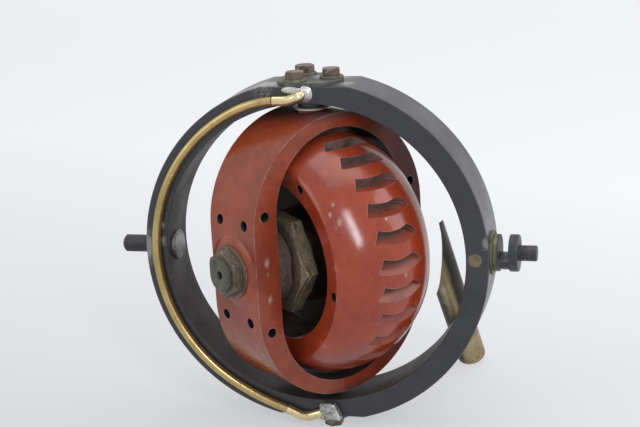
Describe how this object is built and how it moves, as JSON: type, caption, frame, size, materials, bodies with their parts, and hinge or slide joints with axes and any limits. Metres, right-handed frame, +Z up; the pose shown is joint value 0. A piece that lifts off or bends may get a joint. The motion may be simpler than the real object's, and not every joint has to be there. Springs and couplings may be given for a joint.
{
  "type": "gyroscope",
  "caption": "Air driven gyroscope: heavy wheel with milled buckets in a slot shaped gimbal, in a ring with trunnions, air pipe and tube leg.",
  "frame": {"origin": "centre of the outer ring, where the trunnion axis, the gimbal's vertical axis and the wheel's axle cross", "axes": "+X along the trunnion axis towards the slotted drum, +Y to the back where the leg is, +Z up along the gimbal's pivot axis"},
  "size_m": [0.1833, 0.1256, 0.1554],
  "materials": {
    "ring_paint": "worn satin charcoal paint",
    "gimbal_enamel": "glossy red-brown enamel with worn edges",
    "wheel_enamel": "glossy red enamel",
    "black_steel": "oil blackened",
    "aged_steel": "browned with age",
    "bright_steel": "ground",
    "aged_brass": "dull, tarnished",
    "solder": "dull grey soft solder"
  },
  "bodies": {
    "ring": {"outer_ring": "ring_paint", "left_trunnion": "black_steel", "right_trunnion": "black_steel", "trunnion_washer": "aged_brass", "trunnion_lock_plug": "aged_brass", "top_cap": "ring_paint", "top_cap_bolts": "aged_steel", "top_cap_washers": "aged_steel", "bottom_cap": "ring_paint", "bottom_cap_bolts": "aged_steel", "bottom_cap_washers": "aged_steel", "top_pivot": "bright_steel", "bottom_pivot": "bright_steel", "air_pipe": "aged_brass", "top_elbow": "aged_brass", "bottom_elbow": "aged_brass", "top_solder": "solder", "bottom_solder": "solder", "prop_leg": "aged_brass", "leg_bracket": "aged_brass", "bracket_screws": "aged_steel"},
    "gimbal": {"inner_gimbal": "gimbal_enamel", "top_pivot_bush": "aged_brass", "bottom_pivot_bush": "aged_brass", "far_bearing_screw": "aged_steel", "near_bearing_screw": "aged_steel", "far_screw_washer": "aged_steel", "near_screw_washer": "aged_steel", "far_lock_nut": "aged_steel", "near_lock_nut": "aged_steel"},
    "rotor": {"rotor_wheel": "wheel_enamel", "rotor_axle": "bright_steel", "far_hub_nut": "aged_steel", "near_hub_nut": "aged_steel", "far_hub_lock_nut": "aged_steel", "near_hub_lock_nut": "aged_steel"}
  },
  "joints": [
    {"name": "gimbal_turn", "type": "hinge", "parent": "ring", "child": "gimbal", "pos_m": [0, 0, 0], "axis": [0, 0, 1], "continuous": true},
    {"name": "wheel_spin", "type": "hinge", "parent": "gimbal", "child": "rotor", "pos_m": [0, 0, 0], "axis": [0.6036, 0.7973, 0], "continuous": true}
  ]
}
